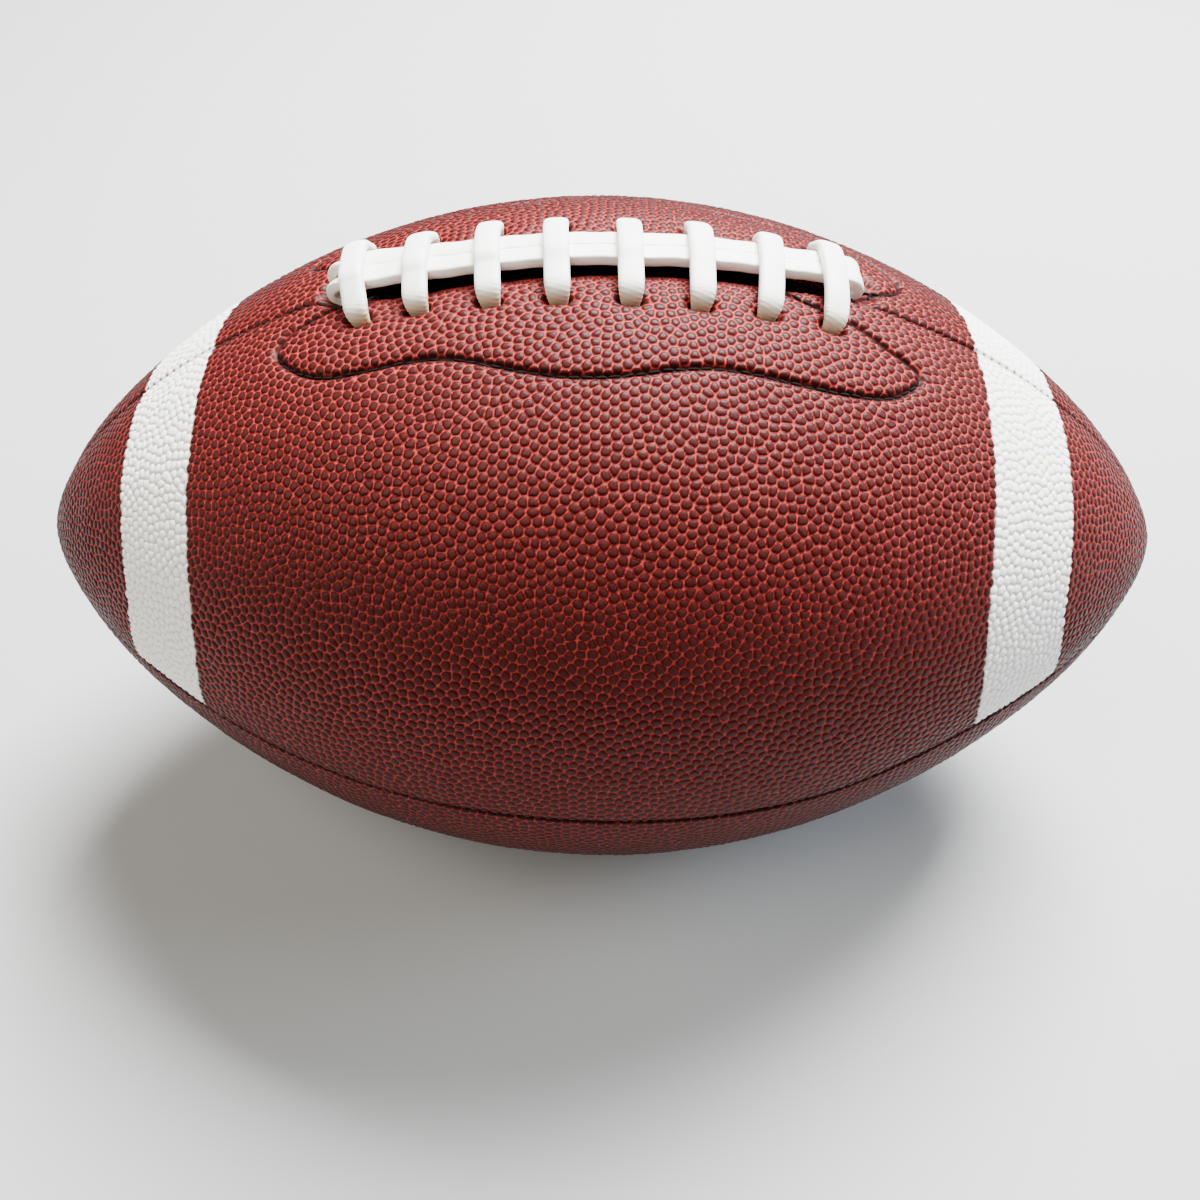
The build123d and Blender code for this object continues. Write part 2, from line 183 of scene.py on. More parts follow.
# x, s of the line between the two long strands, and the width of one strand.
STRAND_LINE = np.array([
    (-60, -3.6, 6.5), (-54, -3.4, 6.3), (-46, -2.8, 5.7), (-41, -2.2, 5.3), (-30, -1.1, 4.9),
    (-15, -1.1, 4.7), (-3, -1.5, 4.5), (9, -1.6, 4.5), (14, -2.2, 4.5), (26, -3.0, 4.3),
    (40, -4.0, 4.2), (46, -5.2, 4.3), (52, -6.0, 4.6), (58, -6.2, 4.8)])
# x, s of the front facing's sewn line, from the opening's left half round to its right half.
FACING_LINE = np.array([
    (-40, 1.6), (-48, 2.6), (-55.3, 4.0), (-58.9, 5.5), (-62.8, 6.8), (-65.6, 8.9), (-67.4, 11.4),
    (-67.3, 13.6), (-65.0, 16.7), (-60.5, 20.6), (-56.2, 22.7), (-51.3, 23.8), (-44.9, 24.1),
    (-38.6, 24.0), (-32.5, 24.3), (-26.4, 25.5), (-20.4, 27.4), (-14.5, 29.2), (-6.8, 30.7),
    (0.9, 30.9), (8.5, 29.9), (16.2, 28.2), (24, 27.1), (31.8, 27.1), (39.9, 27.3), (48.1, 27.1),
    (54.5, 26.2), (60.1, 24.3), (64.2, 21.1), (66.7, 18.0), (66.4, 16.0), (64.0, 14.3),
    (61.2, 13.1), (57.1, 10.8), (52.9, 8.5), (49.8, 7.4), (45.6, 6.0), (41.5, 4.4), (38, 2.0)])


def opening_edge(x, side):
    """Distance of the front (1) or back (-1) panel's edge from the lace seam, in the opening."""
    if side > 0:
        return np.interp(x, [-OPENING_END, -51, -43, -28, -13, 0, 14, 27, 38, 46, OPENING_END],
                         [0, 2.2, 3.4, 3.3, 3.1, 2.6, 2.0, 1.2, 0.5, 0.2, 0])
    return 4.5 * smooth((OPENING_END - np.abs(x)) / 25)


FACING_CURVE = curve_through(np.stack([arc_at(FACING_LINE[:, 0]), FACING_LINE[:, 1]], -1), 620)


def facing_of(side):
    """Arc along and arc across of the facing's sewn line; the back one is broader."""
    line = FACING_CURVE.copy()
    if side < 0:
        line[:, 0] *= -0.99
        line[:, 1] += 0.45 * np.clip(line[:, 1] - 10, 0, None)
    return line


# ---- mesh helpers -------------------------------------------------------------------
def make_object(name, verts, faces, material, replaces, surf=None, uv=None):
    """A smooth mesh in millimetres; surf is a colour per vertex, uv a place per vertex."""
    mesh = bpy.data.meshes.new(name)
    verts = np.asarray(verts, np.float32) * MM
    faces = np.asarray(faces, np.int32)
    mesh.vertices.add(len(verts))
    mesh.vertices.foreach_set("co", verts.ravel())
    size = faces.shape[1]
    mesh.loops.add(faces.size)
    mesh.loops.foreach_set("vertex_index", faces.ravel())
    mesh.polygons.add(len(faces))
    mesh.polygons.foreach_set("loop_start", np.arange(0, faces.size, size, dtype=np.int32))
    mesh.update(calc_edges=True)
    mesh.polygons.foreach_set("use_smooth", np.ones(len(faces), bool))
    if surf is not None:
        layer = mesh.attributes.new("surf", "FLOAT_COLOR", "POINT")
        layer.data.foreach_set("color", np.asarray(surf, np.float32).ravel())
    if uv is not None:
        layer = mesh.uv_layers.new(name="OFBake")
        layer.data.foreach_set("uv", np.asarray(uv, np.float32)[faces.ravel()].ravel())
    mesh.materials.append(material)
    mesh.validate()
    obj = bpy.data.objects.new(name, mesh)
    bpy.context.scene.collection.objects.link(obj)
    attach(obj, "root")
    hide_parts(*replaces)


def grid_faces(rows, cols, closed=False):
    """Quads of a grid of points; closed joins the last column to the first."""
    i = np.arange(rows - 1)[:, None] * cols
    j = np.arange(cols if closed else cols - 1)[None, :]
    k = (j + 1) % cols
    return np.stack([i + j, i + k, i + cols + k, i + cols + j], -1).reshape(-1, 4)


# ---- materials ----------------------------------------------------------------------
class Nodes:
    """A material's node tree, built with short calls."""

    def __init__(self, name):
        self.material = bpy.data.materials.new(name)
        self.material.use_nodes = True
        self.tree = self.material.node_tree
        self.shader = self.tree.nodes["Principled BSDF"]

    def add(self, kind, inputs=(), **props):
        node = self.tree.nodes.new(kind)
        for key, value in props.items():
            setattr(node, key, value)
        for key, value in dict(inputs).items():
            self.feed(node.inputs[key], value)
        return node

    def feed(self, socket, value):
        if isinstance(value, bpy.types.NodeSocket):
            self.tree.links.new(value, socket)
        else:
            socket.default_value = value

    def set(self, **values):
        for key, value in values.items():
            self.feed(self.shader.inputs[key.replace("_", " ")], value)

    def ramp(self, factor, stops):
        node = self.add("ShaderNodeValToRGB", {"Fac": factor})
        while len(node.color_ramp.elements) < len(stops):
            node.color_ramp.elements.new(0.5)
        for element, (position, color) in zip(node.color_ramp.elements, stops):
            element.position = position
            element.color = (*color, 1)
        return node.outputs["Color"]

    def mix(self, factor, a, b):
        """Colour between a and b."""
        node = self.add("ShaderNodeMix", data_type="RGBA")
        self.feed(node.inputs["Factor"], factor)
        for socket, color in ((6, a), (7, b)):  # the node's two colour inputs
            is_link = isinstance(color, bpy.types.NodeSocket)
            self.feed(node.inputs[socket], color if is_link else (*color, 1))
        return node.outputs[2]

    def math(self, operation, a, b):
        node = self.add("ShaderNodeMath", operation=operation)
        self.feed(node.inputs[0], a)
        self.feed(node.inputs[1], b)
        return node.outputs[0]

    def noise(self, scale, detail):
        where = self.add("ShaderNodeTexCoord").outputs["Object"]
        node = self.add("ShaderNodeTexNoise", {"Vector": where, "Scale": scale,
                                               "Detail": detail, "Roughness": 0.55})
        return node.outputs["Fac"]

    def bump(self, height, strength, distance):
        node = self.add("ShaderNodeBump", {"Height": height, "Strength": strength,
                                           "Distance": distance})
        self.feed(self.shader.inputs["Normal"], node.outputs["Normal"])

    def separate(self):
        """Red, green, blue and alpha of the mesh's surf attribute."""
        surf = self.add("ShaderNodeAttribute", attribute_name="surf")
        split = self.add("ShaderNodeSeparateColor", {"Color": surf.outputs["Color"]})
        return [split.outputs[c] for c in ("Red", "Green", "Blue")] + [surf.outputs["Alpha"]]


def srgb(r, g, b):
    """Linear colour of an ordinary 0 to 255 colour."""
    return tuple(((c / 255 + 0.055) / 1.055) ** 2.4 if c > 10 else c / 255 / 12.92
                 for c in (r, g, b))


def leather_material():
    n = Nodes("leather")
    pebble, stripe, painted_shade, tone = n.separate()
    fine = n.noise(2600, 4)
    patch = n.noise(28, 3)
    edge = n.math("ADD", pebble, n.math("MULTIPLY", n.math("SUBTRACT", fine, 0.5), 0.35))
    # Ramp from the grooves (0) to the pebble tops (1). Red grooves and dark tops are the leather's own
    # two colours; the grooves' red is lightened towards pink and the last stop lifts the tops, both
    # painted highlight.
    brown = n.ramp(edge, [(0.0, srgb(168, 70, 67)), (0.24, srgb(142, 42, 38)),
                          (0.44, srgb(70, 11, 9)), (0.72, srgb(42, 8, 7)),
                          (1.0, srgb(66, 27, 26))])
    brown = n.mix(n.math("MULTIPLY", tone, 0.16), brown, srgb(80, 18, 14))
    brown = n.mix(n.math("MULTIPLY", patch, 0.20), brown, srgb(34, 10, 8))
    # The white is darker and yellower in the grooves between pebbles: painted shade.
    white = n.ramp(edge, [(0.0, srgb(190, 184, 164)), (0.32, srgb(238, 235, 226)),
                          (1.0, srgb(250, 249, 246))])
    color = n.mix(stripe, brown, white)
    # Painted shade: near-black where the holes, grooves and seams lie in shadow.
    color = n.mix(painted_shade, color, srgb(22, 12, 10))
    rough = n.math("ADD", n.math("MULTIPLY", edge, -0.20), 0.58)
    rough = n.math("ADD", rough, n.math("MULTIPLY", n.math("SUBTRACT", fine, 0.5), 0.25))
    n.set(Base_Color=color, Roughness=rough, IOR=1.17)
    n.bump(fine, 0.35, 0.00006)
    return n.material


def lace_material():
    n = Nodes("lace")
    fine = n.noise(1500, 4)
    patch = n.noise(90, 3)
    end_tint = n.separate()[0]
    color = n.mix(patch, srgb(248, 247, 240), srgb(254, 253, 249))
    # Cream towards the lace's ends, where it goes down into its holes.
    color = n.mix(end_tint, color, srgb(206, 184, 148))
    n.set(Base_Color=color, Roughness=0.5, Subsurface_Weight=0.15, Subsurface_Scale=0.002,
          Subsurface_Radius=(1.0, 0.8, 0.5))
    n.bump(fine, 0.25, 0.00008)
    return n.material


def plain_material(name, low, high, rough, scale):
    n = Nodes(name)
    fine = n.noise(scale, 4)
    n.set(Base_Color=n.mix(fine, low, high), Roughness=rough, IOR=1.25)
    n.bump(fine, 0.3, 0.0002)
    return n.material


LEATHER = leather_material()
LACE = lace_material()
THREAD = plain_material("thread", srgb(6, 4, 4), srgb(18, 11, 10), 0.95, 1500)
# Near-black for the parts behind the cover: painted shade, as they are seen only in shadow.
INNER_SHADE = plain_material("inner_dark", srgb(16, 12, 11), srgb(34, 26, 23), 0.8, 400)


# ---- pebbled panels -----------------------------------------------------------------
class PanelGrid:
    """Points of one panel on the smooth cover, and what presses into them."""

    def __init__(self, first_deg, side, spacing):
        # side is 1 or -1 for a panel whose low or high edge is the lace seam, else 0.
        self.first, self.side = math.radians(first_deg), side
        self.lean_low = 1 if first_deg == 90 else 0
        self.lean_high = 1 if first_deg == 0 else 0
        self.rows = int(2 * HALF_ARC / spacing)
        self.cols = int(GIRTH_RADIUS * math.pi / 2 / spacing)
        self.row_along = np.linspace(-HALF_ARC + 0.02, HALF_ARC - 0.02, self.rows)
        x = x_at(self.row_along)
        radius = radius_at(x)
        self.low = radius * self.lean_low * seam_lean(x)
        self.high = radius * (math.pi / 2 + self.lean_high * seam_lean(x))
        if side > 0:
            self.low = opening_edge(x, 1)
        if side < 0:
            self.high = self.high - opening_edge(x, -1)
        share = np.linspace(0, 1, self.cols)
        self.across = self.low[:, None] + (self.high - self.low)[:, None] * share
        self.turn = self.first + self.across / radius[:, None]
        self.x = np.broadcast_to(x[:, None], self.turn.shape)
        self.along = np.broadcast_to(self.row_along[:, None], self.turn.shape)
        self.radius = radius[:, None]
        self.base = around_axis(self.x, self.radius, self.turn)
        self.normal = normal_at(self.x, self.turn)
        self.from_low = self.across - self.low[:, None]
        self.from_high = self.high[:, None] - self.across
        self.from_lace = self.across if side >= 0 else self.radius * math.pi / 2 - self.across
        self.in_opening = np.abs(self.x) < OPENING_END
        self.drop = np.zeros(self.turn.shape)  # how far the leather is pressed in
        self.flat = np.ones(self.turn.shape)  # 0 where pebbles are pressed flat
        self.painted_shade = np.zeros(self.turn.shape)  # painted shade: 1 where holes, grooves and seams are shaded near-black

    def paint_shade(self, amount):
        self.painted_shade = np.maximum(self.painted_shade, amount)


def around_axis(x, radius, turn):
    """Points about the ball's axis, which lies at z = 0 here."""
    return np.stack([x, -radius * np.sin(turn), radius * np.cos(turn)], -1)


class Pebbles:
    """Pebble centres of one panel: loose hexagons pushed apart along the cover."""

    ROUNDS = 12
    NEIGHBOURS = 8
    REACH = 1.13 * PEBBLE_PITCH  # centres closer than this push each other away
    MARGIN = 0.7

    def __init__(self, grid, seed):
        scattered = self.scatter(np.random.default_rng(seed))
        self.x = x_at(np.clip(scattered[:, 0], -HALF_ARC + 0.5, HALF_ARC - 0.5))
        self.radius = radius_at(self.x)
        quarter = math.pi / 2
        share = np.clip(scattered[:, 1] / self.radius + math.pi / 4, 0, quarter) / quarter
        lean_from, lean_to = grid.lean_low * seam_lean(self.x), grid.lean_high * seam_lean(self.x)
        self.turn = grid.first + lean_from + share * (quarter + lean_to - lean_from)
        for _ in range(self.ROUNDS):
            self.push_apart(grid)
        self.place = around_axis(self.x, self.radius, self.turn)
        self.row = np.searchsorted(grid.row_along, arc_at(self.x))

    def scatter(self, draw):
        rows = int(2 * HALF_ARC / (PEBBLE_PITCH * 0.866))
        found = []
        for i in range(rows):
            along = -HALF_ARC + (i + 0.5) * 2 * HALF_ARC / rows
            half = radius_at(x_at(along)) * math.pi / 4
            shift = PEBBLE_PITCH / 2 * (i % 2)
            across = np.arange(-half + 0.5 + shift * 0.9, half - 0.3, PEBBLE_PITCH)
            found.append(np.stack([np.full(len(across), along), across], -1))
        scattered = np.vstack(found)
        return scattered + draw.normal(0, 0.30 * PEBBLE_PITCH, scattered.shape)

    def push_apart(self, grid):
        place = around_axis(self.x, self.radius, self.turn)
        tree = KDTree(len(place))
        for i, point in enumerate(place):
            tree.insert(point, i)
        tree.balance()
        near = np.array([[hit[1] for hit in tree.find_n(point, self.NEIGHBOURS)][1:]
                         for point in place])
        gap = place[:, None] - place[near]
        distance = np.linalg.norm(gap, axis=2)
        push = np.clip(self.REACH - distance, 0, None) * 0.22
        place = place + (gap / np.maximum(distance, 0.05)[..., None] * push[..., None]).sum(1)
        self.x = np.clip(place[:, 0], -HALF_LENGTH * 0.997, HALF_LENGTH * 0.997)
        self.radius = radius_at(self.x)
        turn = np.arctan2(-place[:, 1], place[:, 2])
        turn = grid.first + (turn - grid.first + math.pi) % (2 * math.pi) - math.pi
        margin = self.MARGIN / np.maximum(self.radius, 1)
        low = grid.first + margin + grid.lean_low * seam_lean(self.x)
        high = grid.first + math.pi / 2 - margin + grid.lean_high * seam_lean(self.x)
        if grid.side > 0:
            low = low + opening_edge(self.x, 1) / self.radius
        if grid.side < 0:
            high = high - opening_edge(self.x, -1) / self.radius
        self.turn = np.clip(turn, low, high)

    def window(self, i, grid, reach):
        """Rows and columns of the grid that lie within reach of pebble i."""
        row, span = self.row[i], grid.high - grid.low
        rows_away = reach / (grid.row_along[1] - grid.row_along[0])
        top, bottom = max(0, int(row - rows_away)), min(grid.rows, int(row + rows_away) + 2)
        here = self.radius[i] * (self.turn[i] - grid.first) - grid.low[row - 1]
        middle = here / max(span[row - 1], 0.1)
        narrow = min(bottom, grid.rows - 1) - 1 if self.x[i] > 0 else top
        wide = max(reach / max(span[narrow], 0.2), reach / max(span[row - 1], 0.2))
        left = max(0, int((middle - wide) * grid.cols) - 2)
        right = min(grid.cols, int((middle + wide) * grid.cols) + 3)
        return slice(top, bottom), slice(left, right)

    def cells(self, grid):
        """Each grid point's nearest pebble, its squared distance, and how far its border is."""
        nearest = np.full(grid.turn.shape, 1e9)
        owner = np.zeros(grid.turn.shape, np.int32)
        for i in range(len(self.x)):
            w = self.window(i, grid, 2.3)
            squared = ((grid.base[w] - self.place[i]) ** 2).sum(-1)
            closer = squared < nearest[w]
            nearest[w][closer] = squared[closer]
            owner[w][closer] = i
        total = np.zeros(grid.turn.shape)
        for i in range(len(self.x)):
            w = self.window(i, grid, 3.5)
            squared = ((grid.base[w] - self.place[i]) ** 2).sum(-1)
            own = owner[w]
            apart = np.linalg.norm(self.place[own] - self.place[i], axis=-1)
            border = (squared - nearest[w]) / (2 * np.maximum(apart, 0.2))
            pull = np.exp(-BORDER_SHARPNESS * np.clip(border, -50, 6))
            total[w] += np.where(own == i, 0, pull)
        border = -np.log(np.maximum(total, 1e-12)) / BORDER_SHARPNESS
        return owner, nearest, np.clip(border, 0, 3)


def stripe_share(grid, pebble_x):
    """1 where the leather is white; the stripes' edges partly follow the pebbles."""
    turn_from_lace = grid.turn - grid.first
    far_edge = grid.from_high
    if grid.side < 0:
        turn_from_lace = grid.first + math.pi / 2 - grid.turn
        far_edge = grid.from_low
    at = 0.72 * grid.x + 0.28 * pebble_x + 0.15 * value_noise(grid.along, grid.across, 1.1, 5)
    at = at - STRIPE_BEND * np.sign(grid.x) * smooth((turn_from_lace - 0.9) / 0.8)
    stripe = np.zeros(grid.turn.shape)
    for left, right in STRIPES:
        stripe += (smooth((at - left) / STRIPE_BLUR + 0.5)
                   * smooth((right - at) / STRIPE_BLUR + 0.5))
    ragged = 0.25 * value_noise(grid.along, grid.along, 2.1, 3)
    return stripe * smooth((far_edge - STRIPE_STOP - ragged) / 0.3)


def sew_edges(grid, stripe):
    """Rounds both long edges down into their seams, presses in the needle holes and paints shade into
    them and along the seams.
    """
    pitch = BELLY_PANEL_STITCH if grid.side == 0 else LACE_PANEL_STITCH
    for edge_side, distance in ((1, grid.from_low), (-1, grid.from_high)):
        lace_edge = grid.side == edge_side
        open_edge = grid.in_opening & lace_edge
        deep = np.where(open_edge, OPENING_DEPTH, LACE_SEAM_DEPTH if lace_edge else SEAM_DEPTH)
        lip = np.where(open_edge, OPENING_LIP, SEAM_LIP)
        grid.drop += deep * (1 - np.clip(distance / lip, 0, 1)) ** 2.0 * smooth(grid.radius / 9)
        grid.drop += 0.35 * bump(distance, 5.0)
        grid.flat *= 1 - 0.75 * bump(distance, 0.7)
        phase = (np.mod(grid.along, pitch) / pitch - 0.5) * pitch
        hole = bump(phase, 0.50 - 0.12 * stripe) * bump(distance - NEEDLE_HOLE_INSET, 0.36)
        hole *= ~open_edge
        grid.drop += 0.35 * hole
        # Painted shade in the needle holes.
        hole_dark = np.where(stripe > 0.5, 0.95, 0.62 if lace_edge else 0.9)
        grid.paint_shade(np.clip(hole * 1.5, 0, 1) * hole_dark)
        # Painted shade along the seam where the edge rounds down, darkest where the lace edge drops into
        # the opening; almost none on the stripes.
        seam_dark = np.where(grid.in_opening, 0.85, 0.12) if lace_edge else 0.65
        grid.paint_shade(seam_dark * bump(distance, 0.36) * (1 - 0.96 * stripe))


def sew_facing(grid):
    """Presses in the wavy groove where the facing is sewn on behind, and paints shade into and beside
    it.
    """
    region = (np.abs(grid.x) < FACING_REACH_X) & (grid.from_lace < FACING_REACH_S)
    points = np.stack([grid.along[region], grid.from_lace[region]], -1)
    line = facing_of(grid.side)
    best = np.full(len(points), 1e9)
    for start in range(0, len(line), 40):
        part = line[start:start + 40]
        distance = np.hypot(points[:, None, 0] - part[None, :, 0], points[:, None, 1] - part[None, :, 1])
        best = np.minimum(best, distance.min(1))
    groove = np.full(grid.turn.shape, 50.0)
    groove[region] = best
    wander = 0.22 * value_noise(grid.along, grid.from_lace, 1.3, 17)
    grid.drop += GROOVE_DEPTH * bump(groove, GROOVE_WIDTH) + 0.30 * bump(groove, 1.9)
    grid.flat *= 1 - bump(groove, 0.75)
    # Painted shade in the groove, and patchy painted shade beside it.
    grid.paint_shade(0.97 * bump(groove + wander, 0.44))
    shade_patches = 0.5 + 0.5 * value_noise(grid.along, grid.across, 0.9, 19)
    grid.paint_shade(0.30 * bump(groove, 1.1) * shade_patches)


def press_lace_holes(grid):
    """Dents the leather where the crosses go in and where the long strands turn down, and paints shade
    into the crosses' holes.
    """
    for front_x, front_s, back_x, back_s in CROSSES:
        hole_x, hole_s = (front_x, front_s + 0.5) if grid.side > 0 else (back_x, 0.5 - back_s)
        along = grid.along - arc_at(hole_x)
        across = grid.from_lace - hole_s
        pit = np.exp(-((along / PIT_HALF_LENGTH) ** 4) - (across / PIT_HALF_WIDTH) ** 2)
        grid.drop += PIT_DEPTH * pit + 0.5 * np.exp(-((along / 5) ** 2) - (across / 4.0) ** 2)
        # Painted shade in the cross's hole.
        grid.paint_shade(np.clip(pit * 1.2 - 0.3, 0, 0.85))
        grid.flat *= 1 - 0.85 * np.exp(-((along / 2.9) ** 4) - (across / 1.4) ** 2)
    for end, strand_s in STRAND_DENTS:
        away = np.hypot((grid.along - arc_at(end * 56.5)) / 4.0,
                        (grid.from_lace * grid.side - strand_s) / 5.6)
        grid.drop += STRAND_DENT_DEPTH * np.exp(-(away**4))
        grid.flat *= 1 - 0.6 * np.exp(-(away**4))


def cut_valve_hole(grid):
    """Presses in the round mouth over the valve, in the middle of the panel."""
    middle = around_axis(0, grid.radius.max(), grid.first + math.pi / 4)
    away = np.linalg.norm(grid.base - middle, axis=-1)
    grid.drop += VALVE_HOLE_DEPTH * smooth((VALVE_HOLE_RADIUS - away) / 0.7)
    grid.drop += 0.35 * bump(away - 3.2, 1.2)
    grid.flat *= smooth((away - VALVE_HOLE_RADIUS) / 1.2)


def panel(first_deg, side, spacing, seed, has_valve):
    """Points, faces, surf colours and unwrapped places of one panel."""
    grid = PanelGrid(first_deg, side, spacing)
    pebbles = Pebbles(grid, seed)
    owner, nearest, border = pebbles.cells(grid)
    stripe = np.zeros(grid.turn.shape)
    near_lace = np.zeros(grid.turn.shape)
    if side != 0:
        stripe = stripe_share(grid, pebbles.x[owner])
        near_lace = smooth((34 - grid.from_lace) / 20) * smooth((78 - np.abs(grid.x)) / 20)
    sew_edges(grid, stripe)
    if side != 0:
        sew_facing(grid)
        sag = smooth((OPENING_END - np.abs(grid.x)) / 22)
        grid.drop += SAG_DEPTH * sag * bump(grid.from_lace - opening_edge(grid.x, side), 5.0)
        press_lace_holes(grid)
        grid.drop += 0.10 * value_noise(grid.along, grid.from_lace * 2.0, 3.2, 11) * near_lace
    if has_valve:
        cut_valve_hole(grid)

    # Height: each pebble rises from its border, and those at the tips are lower.
    not_tip = smooth((HALF_ARC - np.abs(grid.along)) / 26)
    slope = np.clip(border / (0.62 + 0.16 * near_lace), 0, 1)
    rise = (1 - (1 - slope) ** 2.2) * (0.62 + 0.38 * not_tip)
    tone = rng.uniform(0, 1, len(pebbles.x))[owner]
    dome = np.clip(0.10 * (1 - nearest / 1.3), -0.1, 0.1)
    height = PEBBLE_HEIGHT * (rise * (0.85 + 0.3 * tone) + dome) * grid.flat
    loose = (0.12 * value_noise(grid.along, grid.across, 17, seed)
             + 0.04 * value_noise(grid.along, grid.across, 5, seed + 1))
    height = height - PEBBLE_HEIGHT * 0.6 + loose - grid.drop
    unpressed = np.clip(grid.flat * 1.3, 0, 1)
    pebble_share = np.clip(rise * 0.95, 0, 1) * unpressed + (1 - unpressed) * 0.5
    surf = np.stack([pebble_share, stripe, grid.painted_shade, tone], -1)

    # One more row of points along each edge turns it down into the seam.
    points = np.concatenate([grid.base[:, :1] - grid.normal[:, :1] * EDGE_TURN_IN,
                             grid.base + grid.normal * height[..., None],
                             grid.base[:, -1:] - grid.normal[:, -1:] * EDGE_TURN_IN], 1)
    points[..., 2] += CENTRE_Z
    surf = np.concatenate([surf[:, :1], surf, surf[:, -1:]], 1)
    # The edge rows turned down into the seam get full painted shade.
    surf[:, [0, -1], 2] = 1
    span = 2 * HALF_ARC
    u = (grid.along + HALF_ARC) / span
    v = 0.5 + (grid.across - grid.radius * math.pi / 4) / span
    u = np.concatenate([u[:, :1], u, u[:, -1:]], 1)
    v = np.concatenate([v[:, :1] - 0.004, v, v[:, -1:] + 0.004], 1)
    faces = grid_faces(grid.rows, grid.cols + 2)[:, ::-1]
    return points.reshape(-1, 3), faces, surf.reshape(-1, 4), np.stack([u, v], -1).reshape(-1, 2)


SPACING = 0.30 if FINE else 0.45
BACK_SPACING = 0.36 if FINE else 0.8
PANELS = [  # CAD node, first edge in degrees, side, spacing, seed, valve, stripes
    ("panel_lace_front", 0, 1, SPACING, 21, False, ["stripe_front_left", "stripe_front_right"]),
    ("panel_lace_back", -90, -1, BACK_SPACING, 22, False, ["stripe_back_left", "stripe_back_right"]),
    ("panel_belly_front", 90, 0, BACK_SPACING, 23, False, []),
    ("panel_belly_back", 180, 0, BACK_SPACING, 24, True, []),
]
for node, first_deg, side, spacing, seed, has_valve, stripes in PANELS:
    points, faces, surf, uv = panel(first_deg, side, spacing, seed, has_valve)
    make_object("cover_" + node, points, faces, LEATHER, [node, *stripes], surf, uv)


# ---- swept pieces -------------------------------------------------------------------
SECTION_POINTS = 28


def sweep(path, across, half_width, half_thick, points=SECTION_POINTS, power=3.2, ridges=None):
    """Tube with a rounded flat section along path; across is its width direction."""
    path, across = np.asarray(path, float), np.asarray(across, float)
    count = len(path)
    along = np.gradient(path, axis=0)
    along /= np.linalg.norm(along, axis=1)[:, None]
    across = across - along * (across * along).sum(1)[:, None]
    across /= np.linalg.norm(across, axis=1)[:, None]
    up = np.cross(across, along)
    a = np.linspace(0, 2 * math.pi, points, endpoint=False)
    cx = np.sign(np.cos(a)) * np.abs(np.cos(a)) ** (2 / power)
    cy = np.sign(np.sin(a)) * np.abs(np.sin(a)) ** (2 / power)
    half_width = np.broadcast_to(half_width, count)[:, None]
    half_thick = np.broadcast_to(half_thick, count)[:, None]
    grow = np.zeros((count, points)) if ridges is None else ridges(np.arange(count), cx)
    w = cx * (half_width + grow)
    h = cy * (half_thick + grow)
    ring = path[:, None] + across[:, None] * w[..., None] + up[:, None] * h[..., None]
    verts = ring.reshape(-1, 3)
    faces = grid_faces(count, points, closed=True)
    caps = []
    for base, flip in ((0, False), ((count - 1) * points, True)):
        centre = len(verts) + len(caps)
        caps.append(path[0] if base == 0 else path[-1])
        j = np.arange(points)
        k = (j + 1) % points
        tri = np.stack([np.full(points, centre), base + (j if flip else k), base + (k if flip else j),
                        np.full(points, centre)], -1)
        faces = np.vstack([faces, tri])
    return np.vstack([verts, caps]), faces


def join(pieces):
    """One mesh of several."""
    verts, faces, start = [], [], 0
    for v, f in pieces:
        verts.append(v)
        faces.append(f + start)
        start += len(v)
    return np.vstack(verts), np.vstack(faces)


LACE_HALF_WIDTH = 2.62
LACE_HALF_THICK = 1.25
# x and height of the long strands' middle above the cover.
STRAND_RISE = np.array([(-60, 2.3), (-54, 2.1), (-46, 1.5), (-30, 1.1), (0, 1.0), (30, 1.1),
                        (45, 1.5), (58, 2.0)])
STRAND_RIGHT_END = 52.8
STRAND_LOOPS = {-1: (2.4, -53.9), 1: (2.2, -53.0)}  # left loop's radius and the x where it starts
STRAND_RIGHT_LOOP = 1.5


def strand_centre(x):
    return np.interp(x, STRAND_LINE[:, 0], STRAND_LINE[:, 1])


def strand_width(x):
    return np.interp(x, STRAND_LINE[:, 0], STRAND_LINE[:, 2])


def strand_height(x):
    return np.interp(x, STRAND_RISE[:, 0], STRAND_RISE[:, 1])


